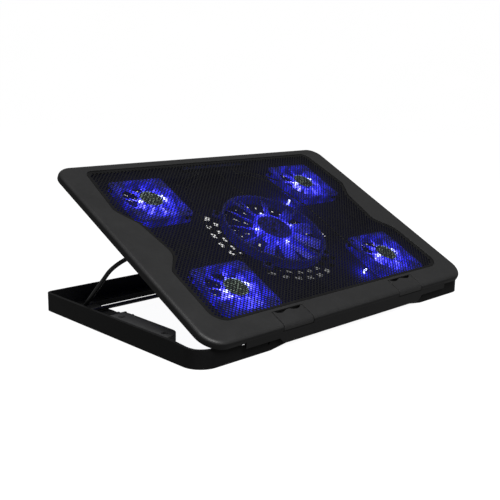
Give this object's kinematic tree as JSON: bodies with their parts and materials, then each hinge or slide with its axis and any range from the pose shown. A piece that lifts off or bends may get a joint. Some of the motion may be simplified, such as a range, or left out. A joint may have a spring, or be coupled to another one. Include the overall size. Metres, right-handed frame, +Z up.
{
  "type": "laptop cooling pad",
  "caption": "Laptop cooling pad: tilting mesh deck with corner fans and a larger centre fan, flip-up front stoppers, U-shaped base frame and wire prop.",
  "frame": {"origin": "centre of the whole pad's footprint, on the floor, with the tray open in the prop's raised position", "axes": "+X to the user's right along the front edge, +Y from the user's side to the raised rear, +Z up"},
  "size_m": [0.392, 0.2429, 0.1429],
  "materials": {
    "base_plastic": "fine satin grain, moulded",
    "rest_plate_plastic": "matt, slightly greyer",
    "screw_steel": "zinc plated",
    "foot_rubber": "matt",
    "pin_steel": "drawn",
    "deck_plastic": "satin, faint grain",
    "mesh_metal": "satin black over punched sheet",
    "under_plastic": "matt grain",
    "fan_frame_plastic": "moulded",
    "fan_rotor_plastic": "smoky, slightly see-through",
    "motor_copper": "enamelled windings",
    "led_lens": "clear blue-white lens",
    "board_laminate": "solder mask",
    "socket_steel": "nickel plated",
    "knob_plastic": "moulded",
    "lead_insulation": "soft",
    "stopper_plastic": "satin, faint grain",
    "prop_steel": "black coated wire"
  },
  "bodies": {
    "base": {"base_frame": "base_plastic", "side_rest_plates": "rest_plate_plastic", "rest_plate_screws": "screw_steel", "rubber_feet": "foot_rubber", "hinge_pins": "pin_steel"},
    "tray": {"top_cover": "deck_plastic", "mesh_panel": "mesh_metal", "bottom_cover": "under_plastic", "cover_screws": "screw_steel", "fan_frame_rear_left": "fan_frame_plastic", "fan_frame_rear_right": "fan_frame_plastic", "fan_frame_front_left": "fan_frame_plastic", "fan_frame_front_right": "fan_frame_plastic", "fan_frame_centre": "fan_frame_plastic", "fan_motors": "motor_copper", "led_lamps": "led_lens", "fan_screws": "screw_steel", "control_board": "board_laminate", "usb_sockets": "socket_steel", "switch_bodies": "socket_steel", "fan_leads": "lead_insulation", "stopper_pins": "pin_steel"},
    "rotor_rear_left": {"fan_rotor_rear_left": "fan_rotor_plastic"},
    "rotor_rear_right": {"fan_rotor_rear_right": "fan_rotor_plastic"},
    "rotor_front_left": {"fan_rotor_front_left": "fan_rotor_plastic"},
    "rotor_front_right": {"fan_rotor_front_right": "fan_rotor_plastic"},
    "rotor_centre": {"fan_rotor_centre": "fan_rotor_plastic"},
    "left_stopper": {"stopper_left": "stopper_plastic"},
    "right_stopper": {"stopper_right": "stopper_plastic"},
    "corner_fans_knob": {"corner_fans_switch_knob": "knob_plastic"},
    "centre_fan_knob": {"centre_fan_switch_knob": "knob_plastic"},
    "prop": {"wire_prop": "prop_steel"}
  },
  "joints": [
    {"name": "tray_tilt", "type": "hinge", "parent": "base", "child": "tray", "pos_m": [0, -0.11, 0.018], "axis": [1, 0, 0], "range_deg": [-26.5, 5]},
    {"name": "prop_swing", "type": "hinge", "parent": "tray", "child": "prop", "pos_m": [0, 0.00447, 0.07452], "axis": [1, 0, 0], "range_deg": [-13.1, 69.36]},
    {"name": "rear_left_fan_spin", "type": "hinge", "parent": "tray", "child": "rotor_rear_left", "pos_m": [-0.112, 0.05901, 0.10959], "axis": [0, -0.4648, 0.8854], "continuous": true},
    {"name": "rear_right_fan_spin", "type": "hinge", "parent": "tray", "child": "rotor_rear_right", "pos_m": [0.112, 0.05901, 0.10959], "axis": [0, -0.4648, 0.8854], "continuous": true},
    {"name": "front_left_fan_spin", "type": "hinge", "parent": "tray", "child": "rotor_front_left", "pos_m": [-0.112, -0.06476, 0.04461], "axis": [0, -0.4648, 0.8854], "continuous": true},
    {"name": "front_right_fan_spin", "type": "hinge", "parent": "tray", "child": "rotor_front_right", "pos_m": [0.112, -0.06476, 0.04461], "axis": [0, -0.4648, 0.8854], "continuous": true},
    {"name": "centre_fan_spin", "type": "hinge", "parent": "tray", "child": "rotor_centre", "pos_m": [0, -0.00323, 0.07691], "axis": [0, -0.4648, 0.8854], "continuous": true},
    {"name": "left_stopper_flip", "type": "hinge", "parent": "tray", "child": "left_stopper", "pos_m": [-0.085, -0.11528, 0.02057], "axis": [1, 0, 0], "range_deg": [0, 90]},
    {"name": "right_stopper_flip", "type": "hinge", "parent": "tray", "child": "right_stopper", "pos_m": [0.085, -0.11528, 0.02057], "axis": [1, 0, 0], "range_deg": [0, 90]},
    {"name": "corner_fans_switch_slide", "type": "slide", "parent": "tray", "child": "corner_fans_knob", "axis": [1, 0, 0], "range_m": [0, 0.004]},
    {"name": "centre_fan_switch_slide", "type": "slide", "parent": "tray", "child": "centre_fan_knob", "axis": [1, 0, 0], "range_m": [0, 0.004]}
  ],
  "couplings": [
    {"joint": "prop_swing", "follows": "tray_tilt", "ratio": -2.617}
  ]
}
